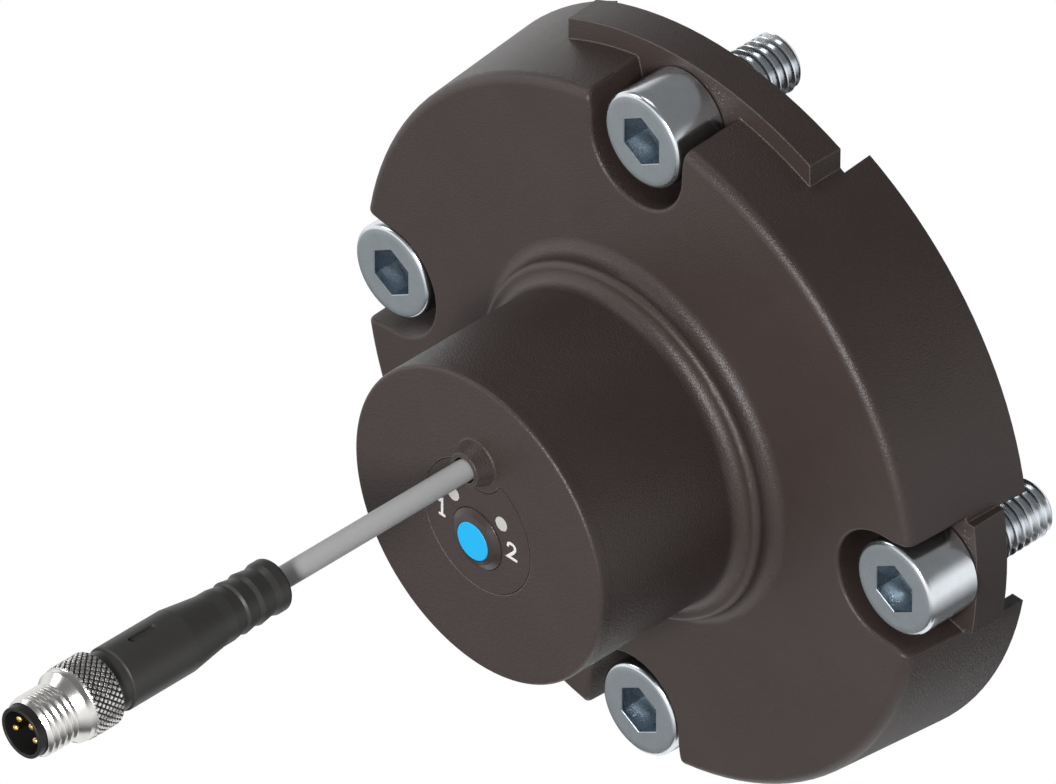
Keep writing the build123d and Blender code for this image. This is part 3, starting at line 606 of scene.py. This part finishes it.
# Plug nut: diamond knurl, cone and fine thread
NUT_SEGMENTS = 288
NUT_RADIUS = 4.9 * MM
NUT_BACK = 103.5 * MM
NUT_BACK_BORE = 4.05 * MM
NUT_BACK_BORE_END = 108.0 * MM
NUT_BACK_FACE = 4.5 * MM
NUT_KNURL_END = 108.2 * MM
NUT_COLLAR = 4.72 * MM
NUT_COLLAR_BACK = NUT_KNURL_END + 0.2 * MM
NUT_SHOULDER = 109.2 * MM
NUT_SHOULDER_CHAMFER = (0.10 * MM, 0.15 * MM)
NUT_CONE_END = 110.3 * MM
NUT_CORE_FRONT = 114.7 * MM
NUT_BORE = 3.47 * MM
NUT_BORE_BACK = 109.0 * MM
NUT_FRONT = 115.0 * MM
NUT_CREST = 3.98 * MM
NUT_ROOT = 3.62 * MM
NUT_PITCH = 1.0 * MM
NUT_CREST_FLAT = 0.2
NUT_CHAMFER = 0.45 * MM
NUT_THREAD_BACK = 110.0 * MM
# The core lies this far under the thread's root, and the thread's shell this far outside the bore
CORE_GAP = 0.02 * MM
SHELL_GAP = 0.01 * MM
KNURL_TEETH = 36
KNURL_PITCH = 0.95 * MM
KNURL_DEPTH = 0.22 * MM
KNURL_ROWS = 56
KNURL_FLAT = 0.62
KNURL_LAND = 0.12 * MM
KNURL_CHAMFER = 0.35 * MM
GROOVE_MARGIN = 0.3 * MM
GROOVE_SHALLOWEST = 0.30
GROOVE_DEEPEST = 1.2


def knurl(height):
    """Radius of the diamond knurl at this height, as a function of the angle."""

    def radius(angle):
        around = angle * KNURL_TEETH / (2 * math.pi)
        along = height / KNURL_PITCH
        cut = 0.0
        for phase in (around + along, around - along):
            cut = max(cut, abs((phase % 1.0) - 0.5) * 2)
        return NUT_RADIUS - KNURL_DEPTH * max(0.0, (cut - KNURL_FLAT) / (1 - KNURL_FLAT))

    return radius


def nut_rows():
    """Rows of the nut without its thread, from the end of its back bore round to its front bore."""
    rows = [(NUT_BACK_BORE, NUT_BACK_BORE_END), (NUT_BACK_BORE, NUT_BACK), (NUT_BACK_FACE, NUT_BACK)]
    start = NUT_BACK + KNURL_LAND
    for i in range(KNURL_ROWS + 1):
        height = start + (NUT_KNURL_END - start) * i / KNURL_ROWS
        edge = min(height - NUT_BACK, NUT_KNURL_END - height + KNURL_LAND)
        limit = NUT_RADIUS - max(0.0, KNURL_CHAMFER - edge)
        shape = knurl(height)
        rows.append((lambda angle, shape=shape, limit=limit: min(shape(angle), limit), height))
    inwards, back = NUT_SHOULDER_CHAMFER
    rows += [(NUT_COLLAR, NUT_COLLAR_BACK), (NUT_COLLAR, NUT_SHOULDER - back)]
    rows += [(NUT_COLLAR - inwards, NUT_SHOULDER)]
    rows += [(NUT_ROOT - CORE_GAP, NUT_CONE_END), (NUT_ROOT - CORE_GAP, NUT_CORE_FRONT)]
    rows += [(NUT_BORE, NUT_CORE_FRONT), (NUT_BORE, NUT_BORE_BACK)]
    return rows


def in_groove(point):
    """Whether a point on the nut lies in a groove of its knurl."""
    depth = NUT_RADIUS - math.hypot(point.x, point.z - CABLE_Z)
    knurled = NUT_BACK + GROOVE_MARGIN < -point.y < NUT_KNURL_END - GROOVE_MARGIN
    return knurled and GROOVE_SHALLOWEST * KNURL_DEPTH < depth < GROOVE_DEEPEST * KNURL_DEPTH


def make_nut():
    """The knurled nut with its thread, with the grooves of the knurl painted dark as shade."""
    vertices, faces = stack(nut_rows(), NUT_SEGMENTS, (0, CABLE_Z), loop=True)
    fine_thread = thread_shell(
        NUT_CREST,
        NUT_ROOT,
        NUT_PITCH,
        NUT_CREST_FLAT,
        start=NUT_THREAD_BACK,
        end=NUT_FRONT,
        chamfer=NUT_CHAMFER,
        bore=NUT_BORE + SHELL_GAP,
        centre=(0, CABLE_Z),
    )
    append_mesh(vertices, faces, *fine_thread)
    nut = add_piece("knurled_nut", vertices, faces, nut_nickel, "plug_nut", "nut_nickel")
    nut.data.materials.append(nut_groove_shade)
    # The knurl's grooves take the dark nickel copy, painted shade.
    for face in nut.data.polygons:
        face.material_index = 1 if in_groove(face.center) else 0
    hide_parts("plug_nut")
    return nut


cable = make_cable()
knurled_nut = make_nut()

# Lamp numbers beside the windows, as thin white prints on the insert. Points are (x, z) in millimetres.
PRINT_THICKNESS = 0.02 * MM
PRINT_STEP = 0.005 * MM
STROKE_WIDTH = 0.40 * MM
CAP_STEPS = 8
DIGIT_STROKES = {
    "lamp_number_1": [[(-6.62, 0.36), (-6.15, 0.70), (-6.15, -1.62)], [(-6.55, -1.62), (-5.75, -1.62)]],
    "lamp_number_2": [
        [
            (5.36, 0.10),
            (5.42, 0.38),
            (5.62, 0.56),
            (6.00, 0.62),
            (6.40, 0.52),
            (6.62, 0.24),
            (6.60, -0.10),
            (6.36, -0.52),
            (5.80, -1.10),
            (5.38, -1.55),
            (6.82, -1.55),
        ]
    ],
}


def round_cap(end, corner, radius):
    """Points of a half circle about a line's end, clockwise from a corner of its outline to the other."""
    start = math.atan2(corner[1] - end[1], corner[0] - end[0])
    angles = [start - math.pi * i / CAP_STEPS for i in range(1, CAP_STEPS)]
    return [(end[0] + radius * math.cos(angle), end[1] + radius * math.sin(angle)) for angle in angles]


def stroke_outline(points):
    """The outline of a line along the points, with mitred bends and round ends, in one closed loop."""
    radius = STROKE_WIDTH / 2
    directions = [math.atan2(z2 - z1, x2 - x1) for (x1, z1), (x2, z2) in zip(points, points[1:])]
    left, right = [], []
    for (x, z), into, out in zip(points, directions[:1] + directions, directions + directions[-1:]):
        bend = (out - into + math.pi) % (2 * math.pi) - math.pi
        reach = radius / math.cos(bend / 2)
        across = into + bend / 2 + math.pi / 2
        left.append((x + reach * math.cos(across), z + reach * math.sin(across)))
        right.append((x - reach * math.cos(across), z - reach * math.sin(across)))
    far_cap = round_cap(points[-1], left[-1], radius)
    near_cap = round_cap(points[0], right[0], radius)
    return left + far_cap + right[::-1] + near_cap


def stroke_mesh(strokes):
    """A thin raised line along each stroke, as vertices and faces. A later stroke lies a little higher."""
    vertices, faces = [], []
    back = HUB_FRONT - PRINT_THICKNESS
    for layer, stroke in enumerate(strokes):
        front = HUB_FRONT + PRINT_THICKNESS + layer * PRINT_STEP
        ring = stroke_outline([(x * MM, z * MM) for x, z in stroke])
        start, count = len(vertices), len(ring)
        vertices += [(x, -front, z) for x, z in ring] + [(x, -back, z) for x, z in ring]
        faces.append(tuple(reversed(range(start, start + count))))
        faces.append(tuple(range(start + count, start + 2 * count)))
        for i in range(count):
            n = (i + 1) % count
            faces.append((start + i, start + n, start + count + n, start + count + i))
    return vertices, faces


for name, strokes in DIGIT_STROKES.items():
    add_piece(name, *stroke_mesh(strokes), digit_white, "sensor_body", "insert_plastic")

# Floor: plain, pale and far enough below to catch only a faint shadow
FLOOR_DEPTH = 0.45
FLOOR_REACH = 0.25
FLOOR_COLOR = (0.8, 0.8, 0.8, 1)
FLOOR_CORNERS = ((-1, -1), (1, -1), (1, 1), (-1, 1))


def seen_white(tree, shader):
    """Shows plain white to the camera, and to rays that a mirror or glass sends on."""
    rays = tree.nodes.new("ShaderNodeLightPath").outputs
    seen = rays["Is Camera Ray"]
    for ray in ("Is Transmission Ray", "Is Glossy Ray"):
        seen = calculate(tree, "MAXIMUM", seen, rays[ray])
    white = tree.nodes.new("ShaderNodeEmission")
    white.inputs["Strength"].default_value = 1.0
    mix = tree.nodes.new("ShaderNodeMixShader")
    tree.links.new(seen, mix.inputs["Fac"])
    tree.links.new(shader.outputs["BSDF"], mix.inputs[1])
    tree.links.new(white.outputs["Emission"], mix.inputs[2])
    tree.links.new(mix.outputs["Shader"], tree.nodes["Material Output"].inputs["Surface"])


def make_floor():
    """A square of floor below the part."""
    mesh = bpy.data.meshes.new("floor")
    corners = [(x * FLOOR_REACH, y * FLOOR_REACH, -FLOOR_DEPTH) for x, y in FLOOR_CORNERS]
    mesh.from_pydata(corners, [], [(0, 1, 2, 3)])
    material, tree, shader = new_material("floor_white", Roughness=0.9, Base_Color=FLOOR_COLOR)
    mesh.materials.append(material)
    floor = place("floor", mesh)
    seen_white(tree, shader)


# World: heights are those of a direction's Z, from -1 straight down to 1 straight up
GROUND_START = -0.75
HORIZON_BOTTOM = -0.25
HORIZON_TOP = 0.10
CEILING_START = 0.42
GROUND_LIGHT = 0.12
CEILING_LIGHT = 0.20
WORLD_LIGHT = 0.11


def make_world():
    """A studio: a broad white horizon between a dimmer floor and ceiling, and even light for what is matt."""
    world = bpy.data.worlds.new("world")
    bpy.context.scene.world = world
    world.use_nodes = True
    tree = world.node_tree
    background = tree.nodes["Background"]
    background.inputs["Color"].default_value = (1, 1, 1, 1)
    direction = tree.nodes.new("ShaderNodeTexCoord")
    parts = tree.nodes.new("ShaderNodeSeparateXYZ")
    tree.links.new(direction.outputs["Generated"], parts.inputs["Vector"])
    above = spread(tree, parts.outputs["Z"], 1.0, CEILING_LIGHT, HORIZON_TOP, CEILING_START)
    below = spread(tree, parts.outputs["Z"], GROUND_LIGHT, 1.0, GROUND_START, HORIZON_BOTTOM)
    rays = tree.nodes.new("ShaderNodeLightPath").outputs
    light = blend(tree, rays["Is Glossy Ray"], WORLD_LIGHT, calculate(tree, "MULTIPLY", above, below))
    for ray in ("Is Transmission Ray", "Is Camera Ray"):
        light = blend(tree, rays[ray], light, 1.0)
    tree.links.new(light, background.inputs["Strength"])


# Lamps: place, size and power in watts
LAMPS = {
    "key_lamp": ((0.16, -0.43, 0.16), 0.075, 1.78),
    "side_lamp": ((-0.9, -0.55, 0.55), 0.35, 1.5),
    "top_lamp": ((-0.35, -0.15, 0.95), 0.45, 1.6),
}


def make_lamps():
    """Square lamps that face the origin."""
    for name, (where, size, power) in LAMPS.items():
        data = bpy.data.lights.new(name, "AREA")
        data.shape = "SQUARE"
        data.size = size
        data.energy = power
        lamp = place(name, data)
        lamp.location = where
        lamp.rotation_mode = "QUATERNION"
        lamp.rotation_quaternion = (-Vector(where)).to_track_quat("-Z", "Y")


make_floor()
make_world()
make_lamps()
bpy.context.scene.view_settings.view_transform = "Standard"
